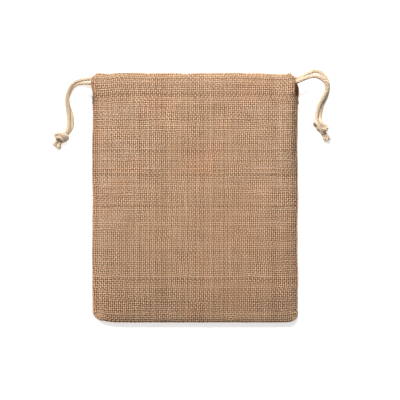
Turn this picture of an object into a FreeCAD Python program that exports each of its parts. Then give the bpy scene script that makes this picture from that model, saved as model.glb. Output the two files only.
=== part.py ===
# Drawstring gift pouch: two woven panels sewn down both sides and along the
# bottom, a turned-over cord casing round the mouth, a slit at each side of the
# casing, and two drawcords that run round the casing from opposite sides.
# Millimetres. The pouch lies flat on its back panel on z = 0, mouth towards +Y,
# origin at the middle of its footprint.
import FreeCAD, Part
import math
import os

V = FreeCAD.Vector
os.makedirs("parts", exist_ok=True)

# ---- driving dimensions -------------------------------------------------
width = 150.0            # sewn width
length = 180.0           # bottom fold to top of the casing
cloth = 0.9              # one layer of the loose plain weave
casing_depth = 18.0      # top edge to the casing stitch line
hem_end = 68.0           # y where the turned-in layer ends
stitch_y = 72.0          # y of the casing stitch line
slit_y = 70.0            # y of the bottom of the two side slits
channel = 3.2            # inside height of a cord channel
mouth_gap = 4.6          # rest height of the mouth between the two casings
front_half = 72.5        # half width of the front casing
back_half = 74.0         # half width of the back casing
inner_half = 69.0        # half width of the turned-in layers at the slits
seam = 6.0               # seam allowance turned in round the edge
corner_left = 8.0        # round of the bottom left corner
corner_right = 5.5       # round of the bottom right corner

cord_d = 3.0             # drawcord diameter
cord_y_high = 87.3       # two cord lines side by side in each channel
cord_y_low = 83.6

body_high = 12.1         # top of the front panel at the casing
body_low = 8.5           # top of the front panel near the bottom
thread = 0.45            # sewing thread as laid

half_w, half_l = width / 2, length / 2
zb = cloth
z_back_channel = zb + channel / 2          # 2.5
z_back_top = 2 * cloth + channel           # 5.0
z_front_low = z_back_top + mouth_gap       # 9.6
z_front_channel = z_front_low + cloth + channel / 2   # 12.1
z_top = z_front_low + 2 * cloth + channel  # 14.6


# ---- helpers ------------------------------------------------------------
def solid_from(points, faces):
    shapes = []
    for f in faces:
        shapes.append(Part.Face(Part.makePolygon([V(*points[i]) for i in f] + [V(*points[f[0]])])))
    s = Part.Solid(Part.Shell(shapes))
    if s.Volume < 0:
        s.reverse()
    return s


def slab(x0, x1, y0, y1, z0, z1):
    return Part.makeBox(x1 - x0, y1 - y0, z1 - z0, V(x0, y0, z0))


def along_x(yz, x0, x1):
    pts = [V(x0, y, z) for y, z in yz]
    return Part.Face(Part.makePolygon(pts + [pts[0]])).extrude(V(x1 - x0, 0, 0))


def outline(z0, z1, top, inset=0.0):
    """The pouch's flat outline up to y = top, with its two round corners."""
    x, y0 = half_w - inset, -half_l + inset
    rl, rr = max(corner_left - inset, 0.5), max(corner_right - inset, 0.5)
    k = math.sqrt(0.5)
    e = [
        Part.LineSegment(V(-x, top, z0), V(-x, y0 + rl, z0)).toShape(),
        Part.Arc(V(-x, y0 + rl, z0), V(-x + rl - rl * k, y0 + rl - rl * k, z0), V(-x + rl, y0, z0)).toShape(),
        Part.LineSegment(V(-x + rl, y0, z0), V(x - rr, y0, z0)).toShape(),
        Part.Arc(V(x - rr, y0, z0), V(x - rr + rr * k, y0 + rr - rr * k, z0), V(x, y0 + rr, z0)).toShape(),
        Part.LineSegment(V(x, y0 + rr, z0), V(x, top, z0)).toShape(),
        Part.LineSegment(V(x, top, z0), V(-x, top, z0)).toShape(),
    ]
    return Part.Face(Part.Wire(e)).extrude(V(0, 0, z1 - z0))


def route_wire(points, share=0.45):
    """Straight runs joined by tangent arcs. Returns the wire, its length and the arcs' radii."""
    p = [V(*q) for q in points]
    edges, radii, at = [], [], p[0]
    for i in range(1, len(p) - 1):
        a, b = p[i] - p[i - 1], p[i + 1] - p[i]
        cut = share * min(a.Length, b.Length)
        ua, ub = V(a).normalize(), V(b).normalize()
        turn = ua.getAngle(ub)
        s, e = p[i] - ua * cut, p[i] + ub * cut
        r = cut / math.tan(turn / 2)
        inward = (ub - ua).normalize()
        mid = p[i] + inward * (r / math.cos(turn / 2) - r)
        edges.append(Part.LineSegment(at, s).toShape())
        edges.append(Part.Arc(s, mid, e).toShape())
        radii.append(r)
        at = e
    edges.append(Part.LineSegment(at, p[-1]).toShape())
    w = Part.Wire(edges)
    return w, w.Length, radii


def tube(points, d, label):
    w, long, radii = route_wire(points)
    p0, p1 = V(*points[0]), V(*points[1])
    c = Part.Wire([Part.Circle(p0, p1 - p0, d / 2).toShape()])
    t = w.makePipeShell([c], True, True)
    runs = [(V(*points[i + 1]) - V(*points[i])).Length for i in range(len(points) - 1)]
    print("%-22s length %.1f  radii %s  runs %s  volume/section*length %.4f  lowest %.2f" % (
        label, long, [round(r, 1) for r in radii], [round(r, 1) for r in runs],
        t.Volume / (math.pi * d * d / 4 * long), t.BoundBox.ZMin))
    return t


def stitch_row(start, step, count, make):
    return Part.makeCompound([make(V(start) + V(step) * i) for i in range(count)])


def save(shape, node):
    solids = shape.Solids
    assert solids and all(s.isValid() and s.Volume > 0 for s in solids), node
    shape.exportStep("parts/%s.step" % node)
    print("%-22s solids %d volume %.1f" % (node, len(solids), shape.Volume))


# ---- back panel: flat, its casing turned inwards and sewn down ----------------
back = outline(0, zb, slit_y)
back_casing = along_x([(slit_y, 0), (half_l, 0), (half_l, z_back_top), (77.5, z_back_top),
                       (74.5, 2 * zb), (hem_end, 2 * zb), (hem_end, zb), (slit_y, zb)], -back_half, back_half)
back_void = along_x([(76.2, zb), (half_l - cloth, zb), (half_l - cloth, z_back_top - cloth), (78.2, z_back_top - cloth)],
                    -back_half - 1, back_half + 1)
back = back.fuse(back_casing).cut(back_void)
for s in (-1, 1):
    x0, x1 = sorted((s * inner_half, s * (back_half + 1)))
    back = back.cut(slab(x0, x1, 76.0, half_l + 1, zb, z_back_top + 1))
back = back.cut(slab(-half_w, -68.8, hem_end - 1, slit_y, zb, 5)).cut(slab(68.8, half_w, hem_end - 1, slit_y, zb, 5))
back = back.removeSplitter()

# ---- front panel: rim sewn to the back, a low swell, and its own casing ----------
ox, oy = half_w - 1.5, half_l - 1.5
outer = solid_from(
    [(-ox, -oy, zb), (ox, -oy, zb), (ox, slit_y, zb), (-ox, slit_y, zb),
     (-58, -72, body_low), (58, -72, body_low), (70.5, slit_y, body_high), (-70.5, slit_y, body_high)],
    [(3, 2, 1, 0), (4, 5, 6, 7), (0, 1, 5, 4), (2, 3, 7, 6), (1, 2, 6), (1, 6, 5), (3, 0, 7), (0, 4, 7)])
ix, iy = half_w - 2.8, half_l - 3.2
inner = solid_from(
    [(-ix, -iy, zb), (ix, -iy, zb), (ix, slit_y, zb), (-ix, slit_y, zb),
     (-57.2, -71.0, body_low - cloth), (57.2, -71.0, body_low - cloth),
     (69.4, slit_y, body_high - cloth), (-69.4, slit_y, body_high - cloth)],
    [(3, 2, 1, 0), (4, 5, 6, 7), (0, 1, 5, 4), (2, 3, 7, 6), (1, 2, 6), (1, 6, 5), (3, 0, 7), (0, 4, 7)])
shell = outer.common(outline(0, 20, slit_y)).cut(inner)
rim = outline(zb, 2 * zb, slit_y).cut(outline(0, 4, slit_y + 5, seam))
front = shell.fuse(rim)
front_casing = along_x([(slit_y, body_high), (74.0, body_high), (76.0, z_top), (half_l, z_top), (half_l, z_front_low),
                        (77.5, z_front_low), (74.5, body_high - 2 * cloth), (hem_end, body_high - 2 * cloth),
                        (hem_end, body_high - cloth), (slit_y, body_high - cloth)], -front_half, front_half)
front_void = along_x([(75.2, 12.0), (77.9, z_front_low + cloth), (half_l - cloth, z_front_low + cloth),
                      (half_l - cloth, z_top - cloth), (76.7, z_top - cloth)], -front_half - 1, front_half + 1)
front = front.fuse(front_casing).cut(front_void)
for s in (-1, 1):
    x0, x1 = sorted((s * inner_half, s * (front_half + 1)))
    front = front.cut(slab(x0, x1, 76.6, half_l + 1, z_front_low - 1, z_top - cloth))
front = front.removeSplitter()
save(front, "front_panel")
save(back, "back_panel")

# ---- sewing threads --------------------------------------------------------


def side_stitch(x):
    def make(p):
        return slab(x - thread / 2, x + thread / 2, p.y, p.y + 2.6, 0.35, 2 * zb + thread)
    return make


for name, s in (("left", -1), ("right", 1)):
    x = s * (half_w - 1.0)
    save(stitch_row((0, -78.0, 0), (0, 3.6, 0), 41, side_stitch(x)), name + "_side_seam_thread")
    xo = s * (half_w - seam - 0.55)
    save(stitch_row((0, -80.0, 0), (0, 3.6, 0), 41,
                    lambda p, xo=xo: slab(xo - 0.5, xo + 0.5, p.y, p.y + 2.4, zb + 0.02, 2 * zb - 0.05)),
         name + "_overlock_thread")
save(stitch_row((-64.0, 0, 0), (3.6, 0, 0), 36,
                lambda p: slab(p.x, p.x + 2.6, -half_l + 1.0 - thread / 2, -half_l + 1.0 + thread / 2, 0.35, 2 * zb + thread)),
     "bottom_seam_thread")
yo = -half_l + seam + 0.55
save(stitch_row((-63.0, 0, 0), (3.6, 0, 0), 35,
                lambda p: slab(p.x, p.x + 2.4, yo - 0.5, yo + 0.5, zb + 0.02, 2 * zb - 0.05)),
     "bottom_overlock_thread")
save(stitch_row((-70.2, 0, 0), (3.6, 0, 0), 39,
                lambda p: slab(p.x, p.x + 2.6, stitch_y - thread / 2, stitch_y + thread / 2,
                               body_high - 2 * cloth - 0.2, body_high + 0.25)),
     "front_casing_stitch")
save(stitch_row((-70.2, 0, 0), (3.6, 0, 0), 39,
                lambda p: slab(p.x, p.x + 2.6, stitch_y - thread / 2, stitch_y + thread / 2, 0.3, 2 * zb + 0.25)),
     "back_casing_stitch")
for name, s in (("left", -1), ("right", 1)):
    posts = [Part.makeCylinder(0.3, body_high - 4 * cloth, V(s * x, 70.6, 2 * zb)) for x in (70.9, 71.6, 72.2)]
    save(Part.makeCompound(posts), name + "_slit_tack")

# ---- drawcords ------------------------------------------------------------
exit_x = 74.5
straight_end = 69.2


def loop(s, y_front, y_back):
    """A cord from its front exit through the front channel, round the far side
    of the mouth and back through the back channel. s is the side of its exits."""
    a0, a1 = V(s * exit_x, y_front, z_front_channel), V(-s * straight_end, y_front, z_front_channel)
    b0, b1 = V(s * exit_x, y_back, z_back_channel), V(-s * straight_end, y_back, z_back_channel)
    c = (a1 + b1) * 0.5
    r = (a1 - b1).Length / 2
    peak = c + V(-s * r, 0, 0)
    w = Part.Wire([Part.LineSegment(a0, a1).toShape(), Part.Arc(a1, peak, b1).toShape(),
                   Part.LineSegment(b1, b0).toShape()])
    t = w.makePipeShell([Part.Wire([Part.Circle(a0, a1 - a0, cord_d / 2).toShape()])], True, True)
    print("loop length %.1f bight radius %.2f reach %.2f volume ratio %.4f" % (
        w.Length, r, abs(peak.x) + cord_d / 2, t.Volume / (math.pi * cord_d ** 2 / 4 * w.Length)))
    return t


left_front = [(-74.5, 87.3, 12.1), (-79.4, 87.3, 12.1), (-85.2, 85.6, 10.5), (-90.3, 81.3, 8.4), (-93.4, 75.4, 6.6),
              (-94.1, 68.8, 5.2), (-93.5, 62.3, 3.5), (-93.1, 56.0, 2.7), (-94.1, 50.9, 3.7), (-95.6, 47.6, 5.0)]
left_back = [(-74.5, 83.6, 2.5), (-79.2, 83.6, 2.5), (-84.8, 82.4, 1.7), (-89.4, 78.8, 1.65), (-92.2, 73.4, 1.7),
             (-92.2, 67.5, 1.65), (-90.3, 61.8, 1.7), (-89.1, 56.1, 1.65), (-90.2, 50.6, 1.7), (-93.2, 46.7, 2.3)]
right_back = [(74.5, 87.3, 2.5), (78.1, 88.4, 2.3), (81.8, 90.4, 1.9), (85.9, 92.3, 1.65), (90.3, 92.9, 1.7), (94.1, 91.4, 1.65),
              (96.9, 88.0, 1.7), (98.1, 83.8, 1.65), (97.5, 79.2, 1.7), (95.6, 73.6, 1.65), (93.5, 67.6, 1.7), (92.5, 61.6, 2.0),
              (92.8, 56.2, 3.4)]
right_front = [(74.5, 83.6, 12.1), (79.1, 84.7, 11.9), (83.9, 87.0, 10.8), (88.8, 88.1, 9.2), (93.0, 86.8, 7.6), (95.6, 83.2, 6.3),
               (96.0, 78.6, 5.4), (93.9, 73.7, 4.8), (90.8, 68.6, 3.9), (88.8, 63.0, 2.0), (88.4, 57.8, 1.8), (89.2, 53.7, 3.0)]

save(loop(-1, cord_y_high, cord_y_low), "left_cord_loop")
save(loop(1, cord_y_low, cord_y_high), "right_cord_loop")
save(tube(left_front, cord_d, "left_cord_front_end"), "left_cord_front_end")
save(tube(left_back, cord_d, "left_cord_back_end"), "left_cord_back_end")
save(tube(right_front, cord_d, "right_cord_front_end"), "right_cord_front_end")
save(tube(right_back, cord_d, "right_cord_back_end"), "right_cord_back_end")


def knot(centre, along, size):
    """A double overhand knot as one plain ellipsoid; size is its full length, width and height."""
    m = FreeCAD.Matrix()
    m.scale(size[0] / 2, size[1] / 2, size[2] / 2)
    m.rotateZ(math.atan2(along[1], along[0]))
    m.move(V(*centre))
    return Part.makeSphere(1.0).transformGeometry(m)


save(knot((-97.1, 45.0, 4.0), (-0.84, -0.54), (10.8, 8.2, 7.9)), "left_knot")
save(knot((91.4, 51.9, 4.2), (0.95, -0.30), (11.6, 9.2, 8.2)), "right_knot")

left_tails = [[(-99.4, 42.8, 3.6), (-101.4, 40.4, 2.5), (-102.8, 38.0, 1.7)],
              [(-96.4, 42.6, 2.6), (-97.9, 39.6, 1.9), (-99.8, 36.9, 1.6)]]
right_tails = [[(94.8, 49.4, 3.6), (96.8, 46.4, 2.5), (98.2, 43.4, 1.7)],
               [(91.8, 48.8, 2.5), (93.8, 45.2, 1.9), (96.0, 42.2, 1.6)]]
for node, tails in (("left_cord_tails", left_tails), ("right_cord_tails", right_tails)):
    save(Part.makeCompound([tube(t, cord_d, node) for t in tails]), node)
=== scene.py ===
import bpy
import math
import numpy as np
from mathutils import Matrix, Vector


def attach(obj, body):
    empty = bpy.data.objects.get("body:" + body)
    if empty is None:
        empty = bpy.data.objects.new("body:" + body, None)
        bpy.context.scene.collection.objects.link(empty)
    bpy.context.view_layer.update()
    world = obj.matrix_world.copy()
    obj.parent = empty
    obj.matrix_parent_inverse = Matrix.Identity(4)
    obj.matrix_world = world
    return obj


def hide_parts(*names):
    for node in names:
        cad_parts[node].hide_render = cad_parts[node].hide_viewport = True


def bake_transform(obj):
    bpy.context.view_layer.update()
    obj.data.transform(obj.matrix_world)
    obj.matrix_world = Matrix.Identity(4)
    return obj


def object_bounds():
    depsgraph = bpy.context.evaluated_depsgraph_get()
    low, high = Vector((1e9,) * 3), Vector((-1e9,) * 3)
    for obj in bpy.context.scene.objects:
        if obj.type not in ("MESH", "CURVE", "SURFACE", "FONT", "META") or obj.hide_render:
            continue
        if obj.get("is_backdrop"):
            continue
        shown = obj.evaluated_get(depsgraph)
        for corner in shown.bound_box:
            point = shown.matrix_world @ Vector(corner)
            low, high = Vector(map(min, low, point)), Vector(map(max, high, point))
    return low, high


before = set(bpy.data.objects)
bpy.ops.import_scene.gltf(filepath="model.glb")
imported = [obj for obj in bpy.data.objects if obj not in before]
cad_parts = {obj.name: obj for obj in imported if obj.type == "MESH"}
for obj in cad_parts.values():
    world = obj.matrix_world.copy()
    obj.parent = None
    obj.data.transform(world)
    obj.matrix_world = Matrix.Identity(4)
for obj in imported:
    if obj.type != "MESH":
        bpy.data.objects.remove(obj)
cad_box = [[float(v) for v in p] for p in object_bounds()]
rng = np.random.default_rng(20)
MM = 0.001


# ---------------------------------------------------------------- mesh helpers
def new_mesh(name, verts, quads, caps=None, smooth=True):
    """verts (n, 3) in metres, quads (m, 4), caps: list of index arrays (each one polygon)."""
    caps = [] if caps is None else caps
    me = bpy.data.meshes.new(name)
    me.vertices.add(len(verts))
    me.vertices.foreach_set("co", np.ascontiguousarray(verts, dtype=np.float32).ravel())
    sizes = np.concatenate([np.full(len(quads), 4, np.int32), np.array([len(c) for c in caps], np.int32)])
    loops = np.concatenate([quads.astype(np.int32).ravel()] + [np.asarray(c, np.int32) for c in caps])
    starts = np.concatenate([[0], np.cumsum(sizes)[:-1]]).astype(np.int32)
    me.loops.add(len(loops))
    me.loops.foreach_set("vertex_index", loops)
    me.polygons.add(len(sizes))
    me.polygons.foreach_set("loop_start", starts)
    me.polygons.foreach_set("use_smooth", np.full(len(sizes), smooth, dtype=bool))
    me.update(calc_edges=True)
    me.validate()
    ob = bpy.data.objects.new(name, me)
    bpy.context.scene.collection.objects.link(ob)
    return ob


def tubes(P, N, rw, rt, sides, phase=0.0, spin=None):
    """Many tubes at once. P, N (T, n, 3): centres and up directions; rw, rt (T, n): half width and half thickness.
    Returns vertices, quads, caps and each vertex's tube."""
    T, n, _ = P.shape
    t = np.gradient(P, axis=1)
    t /= np.linalg.norm(t, axis=2, keepdims=True) + 1e-12
    side = np.cross(t, N)
    side /= np.linalg.norm(side, axis=2, keepdims=True) + 1e-12
    up = np.cross(side, t)
    a = np.arange(sides) * 2 * np.pi / sides + phase
    c, s = np.cos(a), np.sin(a)
    V = (P[:, :, None, :] + side[:, :, None, :] * (rw[:, :, None] * c)[..., None]
         + up[:, :, None, :] * (rt[:, :, None] * s)[..., None])
    idx = np.arange(T * n * sides).reshape(T, n, sides)
    nxt = np.roll(idx, -1, axis=2)
    q = np.stack([idx[:, :-1], nxt[:, :-1], nxt[:, 1:], idx[:, 1:]], axis=-1).reshape(-1, 4)
    caps = [idx[i, 0][::-1] for i in range(T)] + [idx[i, -1] for i in range(T)]
    owner = np.repeat(np.arange(T), n * sides)
    return V.reshape(-1, 3), q, caps, owner


def set_attr(ob, name, values):
    a = ob.data.attributes.new(name, "FLOAT", "POINT")
    a.data.foreach_set("value", np.ascontiguousarray(values, dtype=np.float32))


def unroll(ob, T, n, sides):
    """A flat map of T tubes, each unrolled into a strip of its own."""
    layer = ob.data.uv_layers.new(name="OFBake")
    t, j, k = np.meshgrid(np.arange(T), np.arange(n - 1), np.arange(sides), indexing="ij")
    u = lambda kk: (t + 0.06 + 0.88 * kk / sides) / T
    v = lambda jj: 0.002 + 0.996 * jj / (n - 1)
    uv = np.stack([np.stack([u(k), v(j)], -1), np.stack([u(k + 1), v(j)], -1),
                   np.stack([u(k + 1), v(j + 1)], -1), np.stack([u(k), v(j + 1)], -1)], axis=-2).reshape(-1, 2)
    caps = np.repeat(np.stack([(np.arange(2 * T) % T + 0.5) / T, np.where(np.arange(2 * T) < T, 0.001, 0.999)], 1), sides, axis=0)
    layer.data.foreach_set("uv", np.concatenate([uv, caps]).astype(np.float32).ravel())


def noise1(x, seed, scale):
    """Smooth seeded noise in -1..1 along x, about one wave for each scale."""
    r = np.random.default_rng(seed)
    out = np.zeros_like(x, dtype=float)
    for k, w in ((1.0, 0.6), (2.17, 0.3), (4.6, 0.15)):
        out += w * np.sin(x / scale * 2 * np.pi * k * r.uniform(0.8, 1.2) + r.uniform(0, 6.28))
    return out


def smooth(x):
    x = np.clip(x, 0, 1)
    return x * x * (3 - 2 * x)


# ---------------------------------------------------------------- the pouch's shape (mm)
HALF_W, HALF_L, STITCH, SLIT = 75.0, 90.0, 72.0, 70.0
CORNER = {-1: 8.0, 1: 5.5}
PITCH_A, PITCH_B = 1.46, 1.57            # warp and weft spacing
ALLOW = 6.0

PROFILE = {
    "front": [(-83.6, 2.2), (-87.6, 2.15), (-89.3, 2.25), (-89.75, 2.9), (-89.2, 3.9), (-87.4, 5.2), (-84.0, 6.4),
              (-77, 7.5), (-66, 8.2), (-50, 8.7), (-20, 9.5), (20, 10.4), (48, 11.3), (62, 12.0), (69.0, 12.45),
              (72.0, 12.6), (74.5, 13.0), (77.5, 13.5), (80.5, 13.9), (83.5, 14.2), (87.2, 14.25), (89.5, 13.8),
              (90.4, 12.6), (90.1, 11.2), (88.8, 10.35), (86.0, 10.05), (81.0, 10.0), (77.5, 10.1), (75.2, 10.45),
              (73.0, 10.6), (68.2, 10.55)],
    "back": [(-83.6, 1.45), (-87.6, 1.4), (-89.2, 1.4), (-89.75, 1.15), (-89.0, 0.82), (-86.0, 0.7), (-70, 0.68),
             (-20, 0.68), (40, 0.68), (80, 0.68), (87.0, 0.75), (88.9, 1.1), (89.6, 2.3), (89.2, 3.6), (87.9, 4.35),
             (85.5, 4.55), (81.0, 4.6), (78.6, 4.3), (76.6, 3.1), (75.0, 1.9), (73.2, 1.4), (68.2, 1.38)],
}


def fine_profile(points):
    p = np.array(points, float)
    for _ in range(3):                      # corner cutting
        q = np.empty((2 * len(p), 2))
        q[0], q[-1] = p[0], p[-1]
        q[1:-1:2] = p[:-1] * 0.75 + p[1:] * 0.25
        q[2:-1:2] = p[:-1] * 0.25 + p[1:] * 0.75
        p = q
    s = np.concatenate([[0], np.cumsum(np.linalg.norm(np.diff(p, axis=0), axis=1))])
    k = np.arange(0, s[-1], 0.2)
    return k, np.interp(k, s, p[:, 0]), np.interp(k, s, p[:, 1])


PROF = {k: fine_profile(v) for k, v in PROFILE.items()}


def wrinkle(x, y):
    """Low soft waves of the cloth, in mm."""
    w = 0.55 * np.sin(x / 23.0 + 1.1 + 0.7 * np.sin(y / 31.0)) * np.sin(y / 37.0 + 0.4)
    w += 0.40 * np.sin((x + 0.55 * y) / 13.5 + 2.0) * np.sin(y / 52.0 - 0.9)
    w += 0.30 * np.sin((x - 0.8 * y) / 9.5 + 0.7) * np.cos(x / 33.0)
    return w


def top_wave(x):
    """How far the mouth's edge wanders from straight, in mm."""
    w = 0.30 * np.exp(-((x + 49) / 9.0) ** 2) + 0.35 * np.exp(-((x - 23.5) / 8.0) ** 2)
    w += -0.9 * np.exp(-((x - 60) / 7.0) ** 2) + 0.75 * np.exp(-((x - 69.5) / 1.6) ** 2)
    w += -0.45 * np.exp(-((x + 62.5) / 2.2) ** 2) + 0.10 * np.sin(x / 4.1) + 0.08 * np.sin(x / 2.3 + 1)
    return w


# half width of each panel along the pouch, for its left and right side
EDGE = {
    ("front", -1): ([-90, 64, 68.9, 70.3, 72.5, 75.1, 78.3, 82, 86, 88.4, 90], [74.9, 74.8, 74.7, 74.3, 74.6, 73.7, 74.3, 75.1, 74.8, 73.4, 71.8]),
    ("front", 1): ([-90, 60, 66, 70, 72.5, 74.6, 80, 86.3, 88.2, 90], [74.9, 75.0, 75.3, 75.2, 74.0, 72.3, 72.1, 72.2, 71.2, 69.9]),
    ("back", -1): ([-90, 64, 71, 75, 80, 86, 88.4, 90], [74.9, 74.7, 74.4, 73.6, 74.4, 74.5, 73.2, 72.0]),
    ("back", 1): ([-90, 60, 66, 71, 74.7, 77.6, 81.2, 84.1, 87.0, 90], [74.9, 74.9, 75.1, 75.4, 75.7, 75.9, 75.5, 74.3, 72.6, 70.4]),
}


def place(which, a, b):
    """The cloth's middle surface at a across and b along, both in mm of cloth."""
    k, Y, Z = PROF[which]
    y, z = np.interp(b, k, Y), np.interp(b, k, Z)
    front = which == "front"
    end = PROF[which][0][-1]
    aa = np.abs(a)
    sgn = np.where(a < 0, -1.0, 1.0)
    casing = smooth((y - 67.5) / 7.0)
    inner_layer = smooth((b - (end - 22.5)) / 1.0)      # past the fold at the mouth
    # where the side edge runs
    left, right = np.interp(y, *EDGE[which, -1]), np.interp(y, *EDGE[which, 1])
    edge = np.where(sgn < 0, left, right) - (0.6 if front else 1.5) * inner_layer
    edge = edge + (0.25 * np.sin(y / 11.0 + sgn) + 0.12 * np.sin(y / 4.3 + 2 * sgn)) * (1 - casing)
    d = np.maximum(HALF_W - aa, 0.0)
    over = np.maximum(aa - HALF_W, 0.0)                 # in the seam allowance
    x = sgn * (np.minimum(aa, HALF_W) / HALF_W * edge)
    if front:
        z_edge = 2.55 + (z - 3.2) * smooth((y - 66.0) / 11.0)
        z_edge = np.minimum(z_edge, z)
        reach = 24.0 - 14.0 * smooth((y + 40.0) / 110.0)
        t = np.clip(d / reach, 0, 1)
        f = 1 - (1 - t) ** 3.0
        zz = z_edge + (z - z_edge) * f
        low = smooth((y + 90) / 9.0)
        zz = zz + wrinkle(x, y) * smooth(d / 9.0) * low * (1 - 0.55 * casing)
        # small gathers that run into the casing from the stitch line
        zz = zz + 0.20 * np.sin(x / 2.35 + 1.3 * np.sin(x / 17.0)) * np.exp(-((y - 71.5) / 8.5) ** 2) * smooth(d / 4)
        z_in = 2.0
    else:
        zz = z + 0.0 * x
        lift = 0.5 * np.exp(-d / 1.2) * (1 - casing)
        zz = zz + lift + 0.12 * (wrinkle(x, y) + 1.0) * smooth(d / 9.0) * (1 - casing)
        z_in = 1.42
    # turned-in seam allowance
    turn = smooth(over / 0.9)
    x = np.where(over > 0, sgn * (edge + 0.12 * np.sin(np.pi * np.clip(over / 0.9, 0, 1)) - np.maximum(over - 0.35, 0)), x)
    zz = np.where(over > 0, zz * (1 - turn) + z_in * turn, zz)
    # the wefts sag towards the foot of each slit, more on the left
    tug = np.where(sgn < 0, 1.0, 0.6) * np.exp(-((y - 74) / 9.0) ** 2) * smooth((aa - 56) / 12.0) * smooth((HALF_W + 0.1 - aa) / 5.0)
    y = y - (1.1 * tug if front else 0.0)
    y = y + top_wave(x) * smooth((y - 70) / 16.0) * np.where(front, 1.0, 0.7)
    # round corners at the bottom
    for s in (-1, 1):
        r = CORNER[s]
        cx, cy = s * (HALF_W - 0.1 - r), -HALF_L + 0.25 + r
        dx, dy = (x - cx) * s, cy - y
        inside = (dx > 0) & (dy > 0)
        m = np.maximum(dx, dy)
        e = np.hypot(dx, dy) + 1e-9
        k2 = np.where(inside, m / e, 1.0)
        x = np.where(inside, cx + s * dx * k2, x)
        y = np.where(inside, cy - dy * k2, y)
    # the bottom edge bows a little
    y = y - smooth((-y - 66) / 24) * (1.15 - 1.5 * np.exp(-((x + 72) / 9.0) ** 2) - 0.5 * np.exp(-((x - 73) / 4.0) ** 2))
    return np.stack([x, y, zz], axis=-1)


def place_n(which, a, b):
    e = 0.35
    p = place(which, a, b)
    u = place(which, a + e, b) - place(which, a - e, b)
    v = place(which, a, b + e) - place(which, a, b - e)
    n = np.cross(u, v)
    n /= np.linalg.norm(n, axis=-1, keepdims=True) + 1e-12
    return p, n


def gather(ob):
    """Bakes the object's placement into its mesh."""
    co = np.empty(len(ob.data.vertices) * 3, np.float32)
    ob.data.vertices.foreach_get("co", co)
    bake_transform(ob)
    return ob


# ---------------------------------------------------------------- materials
def node(nt, kind, **props):
    n = nt.nodes.new(kind)
    for k, v in props.items():
        setattr(n, k, v)
    return n


def base_material(name, rough=0.85, sheen=0.0, sheen_tint=None):
    m = bpy.data.materials.new(name)
    m.use_nodes = True
    nt = m.node_tree
    p = nt.nodes["Principled BSDF"]
    p.inputs["Roughness"].default_value = rough
    p.inputs["Specular IOR Level"].default_value = 0.25
    if sheen:
        p.inputs["Sheen Weight"].default_value = sheen
        p.inputs["Sheen Roughness"].default_value = 0.5
        if sheen_tint:
            p.inputs["Sheen Tint"].default_value = (*sheen_tint, 1)
    return m, nt, p


def ramp(nt, stops):
    r = node(nt, "ShaderNodeValToRGB")
    els = r.color_ramp.elements
    els[0].position, els[0].color = stops[0][0], (*stops[0][1], 1)
    els[1].position, els[1].color = stops[-1][0], (*stops[-1][1], 1)
    for pos, col in stops[1:-1]:
        e = els.new(pos)
        e.color = (*col, 1)
    return r


def cloth_material(name, dark, mid, light, warm, cool, fibre=2600.0):
    """Flax yarn: each thread has its own colour, streaked along by its fibres, over slow warm and cool drifts of the
    dye lot. The per-vertex attribute also carries painted highlights and painted shade."""
    m, nt, p = base_material(name, 0.9, 0.12, (0.9, 0.8, 0.7))
    L = nt.links.new
    co = node(nt, "ShaderNodeTexCoord")
    # per-vertex value: each thread's own colour plus painted highlights and painted shade
    tone_and_shade = node(nt, "ShaderNodeAttribute", attribute_name="tone_and_shade")
    big = node(nt, "ShaderNodeTexNoise")
    big.inputs["Scale"].default_value = 38.0
    big.inputs["Detail"].default_value = 3.0
    L(co.outputs["Object"], big.inputs["Vector"])
    fine = node(nt, "ShaderNodeTexNoise")
    fine.inputs["Scale"].default_value = 950.0
    fine.inputs["Detail"].default_value = 2.0
    L(co.outputs["Object"], fine.inputs["Vector"])
    mix = node(nt, "ShaderNodeMath", operation="MULTIPLY_ADD")
    L(fine.outputs["Fac"], mix.inputs[0])
    mix.inputs[1].default_value = 0.55
    L(tone_and_shade.outputs["Fac"], mix.inputs[2])
    r = ramp(nt, [(0.0, dark), (0.52, mid), (1.0, light)])
    L(mix.outputs[0], r.inputs["Fac"])
    hue = ramp(nt, [(0.30, cool), (0.5, (1, 1, 1)), (0.70, warm)])
    L(big.outputs["Fac"], hue.inputs["Fac"])
    mul = node(nt, "ShaderNodeMix", data_type="RGBA", blend_type="MULTIPLY")
    mul.inputs["Factor"].default_value = 1.0
    L(r.outputs["Color"], mul.inputs["A"])
    L(hue.outputs["Color"], mul.inputs["B"])
    L(mul.outputs["Result"], p.inputs["Base Color"])
    # fibres
    fib = node(nt, "ShaderNodeTexNoise")
    fib.inputs["Scale"].default_value = fibre
    fib.inputs["Detail"].default_value = 2.0
    L(co.outputs["Object"], fib.inputs["Vector"])
    bump = node(nt, "ShaderNodeBump")
    bump.inputs["Strength"].default_value = 0.5
    bump.inputs["Distance"].default_value = 0.0002
    L(fib.outputs["Fac"], bump.inputs["Height"])
    L(bump.outputs["Normal"], p.inputs["Normal"])
    ro = node(nt, "ShaderNodeMapRange")
    L(fine.outputs["Fac"], ro.inputs["Value"])
    ro.inputs["To Min"].default_value = 0.78
    ro.inputs["To Max"].default_value = 0.98
    L(ro.outputs["Result"], p.inputs["Roughness"])
    return m


LINEN = cloth_material("linen_yarn", (0.07, 0.030, 0.012), (0.362, 0.195, 0.106), (0.80, 0.54, 0.348),
                       (1.03, 0.975, 0.94), (0.985, 0.995, 0.965))
THREAD = cloth_material("sewing_thread", (0.40, 0.26, 0.16), (0.60, 0.40, 0.26), (0.74, 0.54, 0.37),
                        (1.03, 0.99, 0.95), (0.97, 1.0, 0.98), 5200.0)
CORD = cloth_material("cotton_cord", (0.44, 0.26, 0.13), (0.73, 0.585, 0.43), (0.86, 0.74, 0.60),
                      (1.03, 0.97, 0.90), (0.96, 0.98, 0.98), 4200.0)


def dress(ob, material):
    ob.data.materials.clear()
    ob.data.materials.append(material)
    return ob


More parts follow.
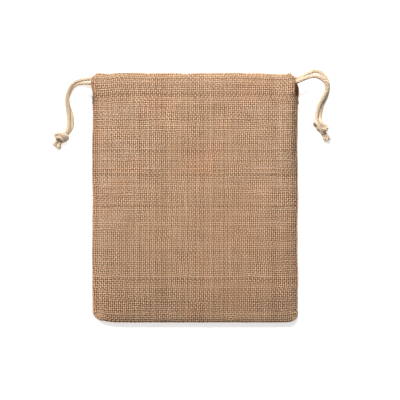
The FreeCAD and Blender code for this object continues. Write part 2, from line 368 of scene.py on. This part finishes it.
# ---------------------------------------------------------------- woven panels, thread by thread
def grid_lines(start, stop, pitch, seed, jitter):
    n = int(round((stop - start) / pitch))
    r = np.random.default_rng(seed)
    base = start + (np.arange(n) + 0.5) * (stop - start) / n
    return base + r.uniform(-jitter, jitter, n)


def thread_tone(n, seed, low=0.02, high=0.42):
    r = np.random.default_rng(seed)
    t = r.normal(0.22, 0.05, n)
    odd = r.random(n) < 0.05
    t[odd] += r.uniform(-0.12, 0.22, odd.sum())
    return np.clip(t, low, 0.62)


def slubs(T, n, seed, share=0.35, step=0.75):
    """Thickness along each of T threads of n samples: slow drift and a few slubs."""
    r = np.random.default_rng(seed)
    x = np.arange(n) * step
    out = np.empty((T, n))
    for i in range(T):
        k = 1 + 0.08 * noise1(x, seed * 1000 + i, r.uniform(14, 30)) + 0.07 * noise1(x, seed * 1000 + i + 500, 4.5)
        for _ in range(r.poisson(share)):
            c, w = r.uniform(0, x[-1]), r.uniform(3, 11)
            k += r.uniform(0.15, 0.5) * np.exp(-((x - c) / w) ** 2)
        out[i] = k * np.clip(r.normal(1.0, 0.065), 0.82, 1.25)
    return out


SIDES = 5
H_W = 0.43      # half width of a yarn
H_T = 0.29      # half thickness
AMP = 0.295    # how far a yarn rises over the ones it crosses
# strength of the painted highlights on yarn crests and the painted shade in their hollows
CREST_SHADE = 0.55
# painted light and shade: warps are coloured lighter and wefts darker, for the different way the light falls on them
WARP_WEFT_SHADE = 0.11
A_LINES = grid_lines(-HALF_W, HALF_W, PITCH_A, 3, 0.11)
A_LINES_BACK = grid_lines(-HALF_W, HALF_W, PITCH_A, 4, 0.11) + PITCH_A / 2
A_LINES_BACK[-1] = -HALF_W + PITCH_A * 0.3
A_LINES_BACK = np.sort(A_LINES_BACK)
EXTRA = np.array([HALF_W + 1.0, HALF_W + 2.4, HALF_W + 3.8, HALF_W + 5.2])


def drift(c, s, seed, size):
    """Slow sideways wander of a yarn at c as it runs along s, shared with its neighbours."""
    r = np.random.default_rng(seed)
    out = 0
    for i in range(4):
        fx, fy = r.uniform(0.02, 0.09) * r.choice([-1, 1]), r.uniform(0.015, 0.07)
        out = out + np.sin(c * fx * 2 * np.pi * 0.6 + s * fy * 2 * np.pi + r.uniform(0, 6.28)) / 4
    return size * out


RING = np.sin(np.arange(SIDES) * 2 * np.pi / SIDES + np.pi / 2)


def crest_shade(up, which, x):
    """Painted highlights on the raised crests and upper sides of each yarn, and painted shade in its hollows and on
    its underside. The inner face of the back cloth is coloured much darker than its yarns really are: painted shade
    that stands for the shade inside the pouch seen through the weave."""
    # painted highlight where the yarn rises and on its upper side, painted shade where it dips and underneath
    h = up[..., None] / AMP * 0.55 + RING * 0.45
    if which == "back":
        # painted shade on the inner face of the back cloth, darkest on the yarns' upward sides
        inside = smooth((71.5 - np.abs(x)) / 2.0)[..., None]
        return (CREST_SHADE * (up[..., None] / AMP * -0.4 - RING * 0.3) * inside + CREST_SHADE * h * (1 - inside)
                - 0.62 * inside * smooth((RING + 0.6) / 0.9)).ravel()
    return (CREST_SHADE * h).ravel()


def woven(which, s, seed):
    """The warp and the weft of one half (s = -1 or 1) of a panel, as two objects."""
    k = PROF[which][0]
    end = k[-1]
    B = grid_lines(0.0, end, PITCH_B, seed + 1, 0.14)
    # parity of each warp line counts from the left, so the halves meet in step
    lines = np.concatenate([-EXTRA[::-1], A_LINES if which == "front" else A_LINES_BACK, EXTRA])
    full = 1.0 if which == "front" else 1.52            # the back cloth is pressed flat and closer
    parity_a = np.arange(len(lines)) % 2
    mine = (lines * s > 0)
    # weft parity
    y_of = lambda b: np.interp(b, PROF[which][0], PROF[which][1])
    # --- warp: runs along b, sampled at each weft crossing and half way between
    bs = np.empty(2 * len(B) + 1)
    bs[1::2] = B
    bs[2:-1:2] = (B[1:] + B[:-1]) / 2
    bs[0], bs[-1] = 0.0, end
    amp = AMP if which == "front" else AMP * 0.8
    rise = np.zeros(len(bs))
    rise[1::2] = np.where(np.arange(len(B)) % 2 == 0, 1.0, -1.0)
    aw, pw = lines[mine], parity_a[mine]
    T = len(aw)
    A2 = np.repeat(aw[:, None], len(bs), axis=1)
    A2 = A2 + drift(A2, bs[None, :], 11, 0.55) * (np.abs(A2) < HALF_W - 2)
    B2 = np.repeat(bs[None, :], T, axis=0)
    # warps in the seam allowance stop at the slit
    body = np.abs(aw) > HALF_W
    stop = np.interp(SLIT, PROF[which][1][: int(len(k) * 0.8)], k[: int(len(k) * 0.8)])
    B2[body] = np.interp(np.linspace(0, 1, len(bs)), [0, 1], [2.0, stop - 1.0])[None, :]
    up = np.where(pw[:, None] == 0, rise[None, :], -rise[None, :]) * amp
    P, N = place_n(which, A2, B2)
    P = P + N * up[..., None]
    r = slubs(T, len(bs), seed + 5)
    V, q, caps, own = tubes(P * MM, N, H_W * 0.94 * full * r * MM, H_T * np.sqrt(r) * MM, SIDES, phase=math.pi / 2)
    warp = new_mesh(f"{which}_{'right' if s > 0 else 'left'}_warp", V, q, caps)
    tone_and_shade = thread_tone(T, seed + 9)[own] + 0.05 * np.repeat(noise1(np.arange(len(bs)) * 0.75, seed, 20)[None, :], T, 0).repeat(SIDES)
    tone_and_shade = tone_and_shade + crest_shade(up, which, P[..., 0]) + WARP_WEFT_SHADE
    set_attr(warp, "tone_and_shade", tone_and_shade)
    unroll(warp, T, len(bs), SIDES)
    # --- weft: runs along a, sampled at each warp crossing and half way between
    aw = np.sort(np.abs(lines[mine]))
    pa = parity_a[mine] if s > 0 else parity_a[mine][::-1]
    xs = np.empty(2 * len(aw) + 1)
    xs[1::2] = aw
    xs[2:-1:2] = (aw[1:] + aw[:-1]) / 2
    xs[0], xs[-1] = 0.0, HALF_W + ALLOW
    rise = np.zeros(len(xs))
    rise[1::2] = np.where(pa == 0, 1.0, -1.0)
    rise[0] = 0.0
    T = len(B)
    A2 = np.repeat(xs[None, :] * s, T, axis=0)
    B2 = np.repeat(B[:, None], len(xs), axis=1)
    B2 = np.clip(B2 + drift(B2, A2, 23, 0.5), 0.3, end - 0.3)
    # wefts above the slit end at the edge of the casing, with short loose ends
    free = y_of(B) > SLIT - 0.5
    loose = np.random.default_rng(seed + 77).uniform(-0.5, 0.5, T)
    for i in np.flatnonzero(free):
        top = HALF_W - 0.2 + loose[i]
        A2[i] = np.where(np.abs(A2[i]) > top, s * (top + 0.0005 * np.arange(len(xs))), A2[i])
    up = np.where((np.arange(T) % 2 == 0)[:, None], -rise[None, :], rise[None, :]) * amp
    P, N = place_n(which, A2, B2)
    P = P + N * up[..., None]
    # a free end runs straight out, so its surplus samples sit close together inside its tip
    r = slubs(T, len(xs), seed + 6)
    for i in np.flatnonzero(free):
        far = np.abs(A2[i]) >= HALF_W - 0.2 + loose[i] - 1e-9
        j = int(np.argmax(far))
        if far.any():
            n = len(xs) - j
            dirn = P[i, j - 1] - P[i, j - 2]
            dirn /= np.linalg.norm(dirn)
            P[i, j:] = P[i, j - 1] + dirn * (0.25 + 0.02 * np.arange(n))[:, None]
            N[i, j:] = N[i, j - 1]
    V, q, caps, own = tubes(P * MM, N, H_W * 1.02 * full * r * MM, H_T * np.sqrt(r) * MM, SIDES, phase=math.pi / 2)
    weft = new_mesh(f"{which}_{'right' if s > 0 else 'left'}_weft", V, q, caps)
    tone_and_shade = thread_tone(T, seed + 19)[own] + 0.05 * np.repeat(noise1(np.arange(len(xs)) * 0.75, seed + 2, 22)[None, :], T, 0).repeat(SIDES)
    tone_and_shade = tone_and_shade + crest_shade(up, which, P[..., 0]) - WARP_WEFT_SHADE
    set_attr(weft, "tone_and_shade", tone_and_shade)
    unroll(weft, T, len(xs), SIDES)
    return warp, weft, end


halves = []
for which, seed in (("front", 100), ("back", 200)):
    for s in (-1, 1):
        warp, weft, end = woven(which, s, seed if s < 0 else seed)
        for ob in (warp, weft):
            dress(ob, LINEN)
            gather(ob)
        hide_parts(f"{which}_panel")
        halves.append((warp, weft))


# the sides of both slits are turned in and lie closer than the open cloth
def slit_edge(which, s, seed):
    k, Y, _ = PROF[which]
    m = int(np.argmax(Y))
    lo = int(np.argmin(Y[:m]))
    b0, b1 = np.interp([68.6, 88.6], Y[lo:m], k[lo:m])
    b = np.linspace(b0, b1, 46)
    a = np.array([74.3, 75.0]) if which == "front" else np.array([71.9, 72.6, 73.3, 74.0, 74.7, 75.2])
    r = np.random.default_rng(seed)
    A = s * (a[:, None] + 0.06 * np.sin(b[None, :] / 1.7 + r.uniform(0, 6, len(a))[:, None]))
    B = np.repeat(b[None, :], len(a), axis=0)
    P, N = place_n(which, A, B)
    lift = 0.15 if which == "front" else 0.42
    P = P + N * (lift + 0.10 * np.sin(b[None, :] * 2 * np.pi / 3.1 + np.arange(len(a))[:, None] * np.pi))[..., None]
    t = slubs(len(a), len(b), seed)
    V, q, caps, own = tubes(P * MM, N, 0.40 * t * MM, 0.27 * t * MM, 6)
    ob = new_mesh(f"{which}_{'right' if s > 0 else 'left'}_slit_edge", V, q, caps)
    set_attr(ob, "tone_and_shade", (0.24 + r.uniform(-0.08, 0.08, len(a)))[own])
    unroll(ob, len(a), len(b), 6)
    dress(ob, LINEN)
    gather(ob)


for which in ("front", "back"):
    for s in (-1, 1):
        slit_edge(which, s, 400 + s)


# ---------------------------------------------------------------- cords
def spline_points(name, route):
    """Points of the route's smooth line, in metres."""
    cu = bpy.data.curves.new(name, "CURVE")
    cu.dimensions = "3D"
    sp = cu.splines.new("NURBS")
    sp.points.add(len(route) - 1)
    for p, q in zip(sp.points, route):
        p.co = (*q, 1)
    sp.order_u = 3
    sp.use_endpoint_u = True
    sp.resolution_u = 12
    ob = bpy.data.objects.new(name, cu)
    bpy.context.scene.collection.objects.link(ob)
    bpy.context.view_layer.update()
    me = bpy.data.meshes.new_from_object(ob)
    pts = np.array([v.co[:] for v in me.vertices])
    bpy.data.meshes.remove(me)
    bpy.data.objects.remove(ob)
    bpy.data.curves.remove(cu)
    return pts


def resample(pts, step):
    s = np.concatenate([[0], np.cumsum(np.linalg.norm(np.diff(pts, axis=0), axis=1))])
    n = max(4, int(round(s[-1] / step)) + 1)
    k = np.linspace(0, s[-1], n)
    return np.stack([np.interp(k, s, pts[:, i]) for i in range(3)], axis=1), k


def frames(P):
    """A steady frame along P."""
    t = np.gradient(P, axis=0)
    t /= np.linalg.norm(t, axis=1, keepdims=True) + 1e-15
    u = np.empty_like(P)
    ref = np.array([0.0, 0.0, 1.0]) if abs(t[0][2]) < 0.9 else np.array([1.0, 0, 0])
    u[0] = ref - t[0] * (ref @ t[0])
    u[0] /= np.linalg.norm(u[0])
    for i in range(1, len(P)):
        v = u[i - 1] - t[i] * (u[i - 1] @ t[i])
        u[i] = v / np.linalg.norm(v)
    return t, u, np.cross(t, u)


def braid(P, d, seed=0, flare=None):
    """An eight-strand round braid of diameter d along the points P, over a round core. flare widens
    the strands towards the end, as on a cut tail. Returns vertices, quads, caps, tone."""
    pts, s = resample(P, d * 0.115)
    t, u, v = frames(pts)
    R0, A, rw, rt = 0.355 * d, 0.050 * d, 0.168 * d, 0.098 * d
    w = 2 * math.pi / (d * 3.1)
    fl = np.ones(len(s)) if flare is None else flare(s / s[-1])
    r = np.random.default_rng(seed)
    Ps, Ns = [], []
    for sign in (1, -1):
        for k in range(4):
            th = sign * w * s + k * math.pi / 2
            rad = (R0 + sign * A * np.cos(4 * w * s)) * fl
            n = u * np.cos(th)[:, None] + v * np.sin(th)[:, None]
            Ps.append(pts + n * rad[:, None])
            Ns.append(n)
    Ps, Ns = np.array(Ps), np.array(Ns)
    one = np.ones(Ps.shape[:2])
    V, q, caps, own = tubes(Ps, Ns, one * rw, one * rt, 6)
    tone_and_shade = (0.22 + r.uniform(-0.06, 0.06, 8))[own]
    Vc, qc, cc, _ = tubes(pts[None], u[None], np.full((1, len(pts)), 0.30 * d), np.full((1, len(pts)), 0.30 * d), 10)
    n0 = len(V)
    V = np.concatenate([V, Vc])
    q = np.concatenate([q, qc + n0])
    caps = caps + [c + n0 for c in cc]
    # the core is coloured darker than the strands: painted shade in the gaps between them
    tone_and_shade = np.concatenate([tone_and_shade, np.full(len(Vc), 0.08)])
    return V, q, caps, tone_and_shade


def merge(parts):
    V, q, caps, tone_and_shade, n = [], [], [], [], 0
    for v, f, c, t in parts:
        V.append(v); q.append(f + n); caps += [x + n for x in c]; tone_and_shade.append(t)
        n += len(v)
    return np.concatenate(V), np.concatenate(q), caps, np.concatenate(tone_and_shade)


def cord_piece(name, parts, body, nodes):
    V, q, caps, tone_and_shade = merge(parts)
    ob = new_mesh(name, V, q, caps)
    set_attr(ob, "tone_and_shade", tone_and_shade)
    dress(ob, CORD)
    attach(ob, body)
    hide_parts(*nodes)
    return ob


D = 0.003
ROUTES = {
    "left_cord_front_end": [(-0.0745, 0.0864, 0.0121), (-0.0772, 0.0862, 0.0121), (-0.0817, 0.0859, 0.0117),
                            (-0.0865, 0.0846, 0.0103), (-0.0901, 0.0814, 0.0088), (-0.0923, 0.0772, 0.0072),
                            (-0.0933, 0.0725, 0.0058), (-0.0932, 0.0676, 0.0046), (-0.0926, 0.0627, 0.0035),
                            (-0.0921, 0.0579, 0.0026), (-0.0922, 0.0529, 0.0031), (-0.0933, 0.0483, 0.0047),
                            (-0.0950, 0.0464, 0.0050)],
    "left_cord_back_end": [(-0.0745, 0.0836, 0.0025), (-0.0771, 0.0838, 0.0026), (-0.0809, 0.0839, 0.0020),
                           (-0.0855, 0.0837, 0.0016), (-0.0892, 0.0813, 0.0017), (-0.0915, 0.0775, 0.0016),
                           (-0.0929, 0.0733, 0.0017), (-0.0927, 0.0689, 0.0016), (-0.0914, 0.0647, 0.0017),
                           (-0.0898, 0.0607, 0.0017), (-0.0893, 0.0563, 0.0016), (-0.0897, 0.0519, 0.0016),
                           (-0.0918, 0.0482, 0.0017), (-0.0934, 0.0466, 0.0019)],
    "right_cord_back_end": [(0.0745, 0.0870, 0.0025), (0.0772, 0.0879, 0.0024), (0.0814, 0.0903, 0.0018),
                            (0.0864, 0.0929, 0.0016), (0.0916, 0.0922, 0.0017), (0.0954, 0.0883, 0.0016),
                            (0.0975, 0.0835, 0.0017), (0.0971, 0.0782, 0.0016), (0.0955, 0.0732, 0.0017),
                            (0.0931, 0.0687, 0.0016), (0.0917, 0.0635, 0.0016), (0.0912, 0.0586, 0.0018),
                            (0.0916, 0.0560, 0.0022)],
    "right_cord_front_end": [(0.0745, 0.0844, 0.0121), (0.0770, 0.0854, 0.0119), (0.0810, 0.0871, 0.0112),
                             (0.0861, 0.0885, 0.0096), (0.0908, 0.0876, 0.0081), (0.0949, 0.0844, 0.0068),
                             (0.0966, 0.0798, 0.0056), (0.0945, 0.0748, 0.0050), (0.0919, 0.0706, 0.0042),
                             (0.0898, 0.0660, 0.0034), (0.0888, 0.0610, 0.0029), (0.0885, 0.0575, 0.0029),
                             (0.0889, 0.0552, 0.0030)],
}
# each knot's two cords from where the pair enters it to where its tails leave it, and the tails, in mm
KNOTS = {
    "left": dict(cords=[[(-92.9, 48.8, 4.5), (-95.2, 46.3, 3.9), (-98.1, 44.9, 3.3), (-100.7, 44.2, 2.4),
                         (-101.9, 45.5, 3.7), (-100.5, 46.8, 5.3), (-97.8, 46.6, 6.5), (-95.6, 45.0, 6.4),
                         (-94.1, 42.3, 3.6), (-95.0, 41.7, 1.8), (-97.7, 43.0, 1.6), (-100.2, 42.0, 2.7),
                         (-101.0, 41.2, 2.6)],
                        [(-91.3, 49.4, 2.1), (-93.5, 45.8, 2.0), (-96.6, 46.0, 1.7), (-96.2, 47.2, 3.2),
                         (-94.7, 46.8, 5.2), (-93.3, 45.0, 5.6), (-92.7, 42.8, 3.4), (-94.3, 42.5, 1.6),
                         (-98.8, 44.3, 1.6), (-101.3, 43.6, 3.0), (-100.4, 44.2, 5.0), (-98.5, 44.3, 6.2),
                         (-96.8, 42.7, 5.7), (-95.9, 41.1, 3.2), (-97.3, 40.9, 1.7), (-98.3, 41.2, 1.9)]],
                 tails=[[(-100.1, 42.6, 3.0), (-101.5, 40.4, 2.5), (-102.6, 38.4, 2.2)],
                        [(-98.2, 41.3, 2.3), (-98.9, 39.1, 2.2), (-99.5, 36.5, 2.2)]]),
    "right": dict(cords=[[(88.8, 57.6, 3.0), (89.2, 55.8, 2.6), (90.9, 53.6, 1.7), (94.4, 52.7, 2.0),
                          (96.3, 52.4, 3.8), (96.4, 50.6, 5.2), (94.4, 49.5, 6.0), (91.0, 51.0, 5.2),
                          (89.1, 51.4, 3.0), (89.9, 49.5, 1.7), (92.7, 48.1, 1.7), (94.9, 46.6, 2.6)],
                         [(91.2, 57.6, 2.2), (91.7, 55.9, 4.0), (92.8, 53.9, 5.8), (94.7, 51.9, 5.7),
                          (96.0, 50.3, 3.9), (94.9, 48.8, 2.0), (91.7, 50.7, 1.6), (88.0, 52.4, 1.8),
                          (86.9, 54.0, 3.5), (87.2, 55.4, 5.1), (88.8, 54.6, 6.3), (90.5, 52.0, 6.7),
                          (92.2, 49.0, 5.7), (92.8, 46.9, 3.8)]],
                  tails=[[(94.4, 47.4, 2.7), (96.2, 44.9, 2.4), (97.7, 42.6, 2.2)],
                         [(92.7, 47.3, 3.6), (93.9, 44.8, 2.5), (95.6, 41.9, 2.2)]]),
}


def loop_route(s, yf, yb):
    """The straight cord in both channels and the bight round the far end of the mouth, in metres."""
    zf, zb, xe, xs = 12.1, 2.5, 74.5, 69.2
    c = np.array([-s * xs, (yf + yb) / 2, (zf + zb) / 2])
    h = np.array([0, (yf - yb) / 2, (zf - zb) / 2])
    r = np.linalg.norm(h)
    front = [np.array([s * (xe - f * (xe + xs)), yf, zf]) for f in np.linspace(0, 1, 40)]
    bight = [c + h * math.cos(a) + np.array([-s * r * math.sin(a), 0, 0]) for a in np.linspace(0, math.pi, 24)[1:-1]]
    back = [np.array([s * (-xs + f * (xe + xs)), yb, zb]) for f in np.linspace(0, 1, 40)]
    pts = np.array(front + bight + back)
    # the last of each channel runs over to where the cord comes out
    near = smooth((pts[:, 0] * s - 60.0) / 14.5)
    out_f, out_b = ROUTES[f"{'left' if s < 0 else 'right'}_cord_front_end"][0], ROUTES[f"{'left' if s < 0 else 'right'}_cord_back_end"][0]
    upper = pts[:, 2] > 7.3
    pts[:, 1] += near * np.where(upper, out_f[1] / MM - yf, out_b[1] / MM - yb)
    return pts * MM


def frayed(P, seed, n=46):
    """Loose fibres past the cut end of a tail that runs along P."""
    r = np.random.default_rng(seed)
    t = P[-1] - P[-4]
    t /= np.linalg.norm(t)
    u = np.cross(t, [0, 0, 1.0]); u /= np.linalg.norm(u)
    v = np.cross(u, t)
    lines = []
    for i in range(n):
        a, q = r.uniform(0, 6.28), math.sqrt(r.random()) * 1.35 * MM
        d = u * math.cos(a) + v * math.sin(a)
        L = r.uniform(0.7, 1.9) * MM
        k = np.linspace(0, 1, 7)
        bend = r.uniform(0.0, 0.9)
        p = P[-1] + (d * q)[None, :] + t[None, :] * (k * L - 0.5 * MM)[:, None] + d[None, :] * (bend * L * k ** 2)[:, None]
        p[:, 2] = np.maximum(p[:, 2], 0.12 * MM)
        lines.append(p)
    lines = np.array(lines)
    N = np.zeros_like(lines); N[..., 2] = 1
    w = np.full(lines.shape[:2], 0.085 * MM) * np.linspace(1.1, 0.45, 7)[None, :]
    V, q, caps, own = tubes(lines, N, w, w, 5)
    return V, q, caps, (0.2 + r.uniform(-0.12, 0.1, n))[own]


def knot_parts(k, side, seed):
    """A double-strand overhand knot drawn up tight."""
    parts = []
    for i, line in enumerate(k["cords"]):
        pts = spline_points("wrap", [tuple(c * MM for c in q) for q in line])
        parts.append(braid(pts, 0.00285, seed + i))
    return parts


for side, s, yf, yb in (("left", -1, 87.3, 83.6), ("right", 1, 83.6, 87.3)):
    body = f"{side}_drawcord"
    cord_piece(f"{side}_loop_braid", [braid(loop_route(s, yf, yb), D, 31 * s + 60)], body, [f"{side}_cord_loop"])
    k = KNOTS[side]
    knot = cord_piece(f"{side}_knot_braid", knot_parts(k, side, 5 if s < 0 else 8), body, [f"{side}_knot"])
    flare = lambda f: 1 + 0.42 * smooth((f - 0.45) / 0.55)
    tail_parts = []
    for i, t in enumerate(k["tails"]):
        pts = spline_points("tail", [tuple(c * MM for c in q) for q in t])
        tail_parts.append(braid(pts, D * 0.97, 71 + i + s, flare))
        tail_parts.append(frayed(pts, 91 + i + s))
    tails = cord_piece(f"{side}_tails_braid", tail_parts, body, [f"{side}_cord_tails"])
    for end_name in (f"{side}_cord_front_end", f"{side}_cord_back_end"):
        pts = spline_points(end_name, ROUTES[end_name])
        ob = cord_piece(end_name.replace("cord_", "") + "_braid", [braid(pts, D * 1.07, 17 + s)], body, [end_name])

# ---------------------------------------------------------------- threads
def carried(name, P, N, rw, rt, s, nodes, tone_and_shade=0.25, split=True):
    V, q, caps, own = tubes(P * MM, N, rw * MM, rt * MM, 6)
    ob = new_mesh(name, V, q, caps)
    set_attr(ob, "tone_and_shade", tone_and_shade + 0.08 * np.sin(own * 1.7))
    dress(ob, THREAD)
    if s:
        gather(ob)
    else:
        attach(ob, "pouch")
    if nodes:
        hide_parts(*nodes)
    return ob


def b_at(which, y, inner=False):
    k, Y, _ = PROF[which]
    m = int(np.argmax(Y))
    if inner:
        return float(np.interp(-y, -Y[m:], k[m:]))
    lo = int(np.argmin(Y[:m]))
    return float(np.interp(y, Y[lo:m], k[lo:m]))


def stitches_across(which, y, s, name, nodes):
    """Lockstitches along a line of constant y on a panel's outer face."""
    step, n, lift = 2.6, 9, 0.52
    b = b_at(which, y)
    starts = np.arange(1.0, HALF_W - 3.4, step)
    t = np.linspace(0, 1, n)
    a = starts[:, None] + t[None, :] * 2.2
    bb = b + 0.15 * np.sin(starts)[:, None] + 0 * a + 0.12 * (t[None, :] - 0.5)
    P, N = place_n(which, a * s, bb)
    if which == "back":
        N = -N
    prof = np.sin(np.pi * t) ** 0.45
    P = P + N * (lift * prof - 0.28)[None, :, None] * (1.0 if which == "front" else 0.55)
    o = np.ones(a.shape)
    return carried(name, P, N, o * 0.19, o * 0.17, s, nodes)


for which in ("front", "back"):
    for side, s in (("left", -1), ("right", 1)):
        stitches_across(which, STITCH, s, f"{which}_casing_stitches_{side}", [f"{which}_casing_stitch"] if s < 0 else [])

for side, s in (("left", -1), ("right", 1)):
    # side seam: the thread shows as short bars in the groove between the panels
    ys = np.arange(-80.0, 69.0, 2.6)
    t = np.linspace(0, 1, 7)
    y = ys[:, None] + t[None, :] * 1.9
    x = s * (HALF_W - 0.55 + 0.25 * np.sin(np.pi * t))[None, :] + 0 * y
    z = 1.72 + 0.12 * np.sin(np.pi * t)[None, :] + 0 * y
    P = np.stack([x, y, z], -1)
    N = np.zeros_like(P); N[..., 2] = 1
    o = np.ones(y.shape)
    carried(f"{side}_seam_stitches", P, N, o * 0.2, o * 0.2, s, [f"{side}_side_seam_thread"])
    # overlock: a zigzag over the cut edge of the seam allowance, inside the pouch
    y = np.linspace(-82, 68.5, 700)[None, :]
    ph = y * 2 * np.pi / 2.6
    x = s * (HALF_W - ALLOW - 0.2 + 0.9 * np.clip(1.3 * np.sin(ph), -1, 1))
    z = 1.75 + 0.55 * np.cos(ph)
    P = np.stack([x, y, z], -1)
    N = np.zeros_like(P); N[..., 2] = 1
    o = np.ones(y.shape)
    carried(f"{side}_overlock", P, N, o * 0.16, o * 0.16, s, [f"{side}_overlock_thread"])
    # bar tack at the foot of the slit
    m = 7
    t = np.linspace(0, 1, 14)[None, :]
    rows = np.arange(m)[:, None]
    x = s * (71.0 + 0.27 * rows + 0 * t)
    y = 70.5 + 0.25 * np.sin(rows * 2.1) + 0 * t
    z = 1.3 + (2.2 + 7.2 * (1 - rows / 9.0)) * t
    y = y + 0.3 * np.sin(np.pi * t)
    P = np.stack([x, y, z], -1)
    N = np.zeros_like(P); N[..., 0] = 1
    o = np.ones(x.shape)
    tack = carried(f"{side}_slit_tack_threads", P, N, o * 0.15, o * 0.15, 0, [])
    tack.parent = None
    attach(tack, f"{side}_mouth_end")
    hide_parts(f"{side}_slit_tack")

xs = np.arange(-66.0, 66.0, 2.6)
t = np.linspace(0, 1, 7)
x = xs[:, None] + t[None, :] * 1.9
P = np.stack([x, -HALF_L + 0.72 - 0.2 * np.sin(np.pi * t)[None, :] + 0 * x, 1.75 + 0 * x], -1)
N = np.zeros_like(P); N[..., 2] = 1
o = np.ones(x.shape)
carried("bottom_seam_stitches", P, N, o * 0.2, o * 0.2, 0, ["bottom_seam_thread"])
x = np.linspace(-66, 66, 620)[None, :]
ph = x * 2 * np.pi / 2.6
P = np.stack([x, -HALF_L + ALLOW + 0.4 + 0.9 * np.clip(1.3 * np.sin(ph), -1, 1), 1.8 + 0.55 * np.cos(ph)], -1)
N = np.zeros_like(P); N[..., 2] = 1
o = np.ones(x.shape)
carried("bottom_overlock", P, N, o * 0.16, o * 0.16, 0, ["bottom_overlock_thread"])

# ---------------------------------------------------------------- floor, lights, camera
# a lit white table; the part the cloth always lies on gives no light of its own
ys = np.linspace(-0.0865, 0.0865, 24)
half = (75.0 * (1 - 0.78 * smooth((ys / MM + 66.0) / 128.0)) - 2.5) * MM
inner = [(-w, y) for w, y in zip(half, ys)] + [(w, y) for w, y in zip(half[::-1], ys[::-1])]
outer = [(3.0 * x / max(abs(x), abs(y)), 3.0 * y / max(abs(x), abs(y))) for x, y in inner]
n = len(inner)
fme = bpy.data.meshes.new("floor")
fme.from_pydata([(x, y, 0.0) for x, y in inner + outer], [],
                [(i, n + i, n + (i + 1) % n, (i + 1) % n) for i in range(n)]
                + [(i, i + 1, n - 2 - i, n - 1 - i) for i in range(n // 2 - 1)])
floor = bpy.data.objects.new("floor", fme)
bpy.context.scene.collection.objects.link(floor)
for nm, glow in (("floor_white", 0.60), ("floor_covered", 0.0)):
    fm, fnt, fp = base_material(nm, 0.9)
    fp.inputs["Base Color"].default_value = (0.90, 0.90, 0.90, 1)
    fp.inputs["Emission Color"].default_value = (1, 1, 1, 1)
    fp.inputs["Emission Strength"].default_value = glow
    fme.materials.append(fm)
for p in fme.polygons[n:]:
    p.material_index = 1
for p in fme.polygons:
    if p.normal.z < 0:
        p.flip()
floor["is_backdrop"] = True

world = bpy.data.worlds.new("studio")
bpy.context.scene.world = world
world.use_nodes = True
world.node_tree.nodes["Background"].inputs["Color"].default_value = (1, 1, 1, 1)
world.node_tree.nodes["Background"].inputs["Strength"].default_value = 0.15


def area(name, loc, size, energy, color=(1, 1, 1)):
    li = bpy.data.lights.new(name, "AREA")
    li.shape = "DISK"
    li.size = size
    li.energy = energy
    li.color = color
    ob = bpy.data.objects.new(name, li)
    ob.location = loc
    ob.rotation_euler = (Vector((0, 0, 0)) - Vector(loc)).to_track_quat("-Z", "Y").to_euler()
    bpy.context.scene.collection.objects.link(ob)


area("key", (-1.15, 1.35, 1.30), 0.42, 45.0)
area("top", (0.03, 0.42, 0.40), 0.16, 2.5)
area("fill", (0.3, 0.1, 1.3), 0.9, 0.8)

cam = bpy.data.cameras.new("camera")
cam.sensor_width = 36.0
FIELD = 0.2912
DIST = 1.6
cam.lens = 36.0 * DIST / FIELD
cam.clip_end = 20
cam_ob = bpy.data.objects.new("camera", cam)
cam_ob.location = (0.00371, -0.00164, DIST + 0.006)
cam_ob.rotation_euler = (0, 0, 0)
bpy.context.scene.collection.objects.link(cam_ob)
bpy.context.scene.camera = cam_ob
bpy.context.scene.view_settings.view_transform = "Standard"

{"cad": cad_box, "visual": [[float(v) for v in p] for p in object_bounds()]}
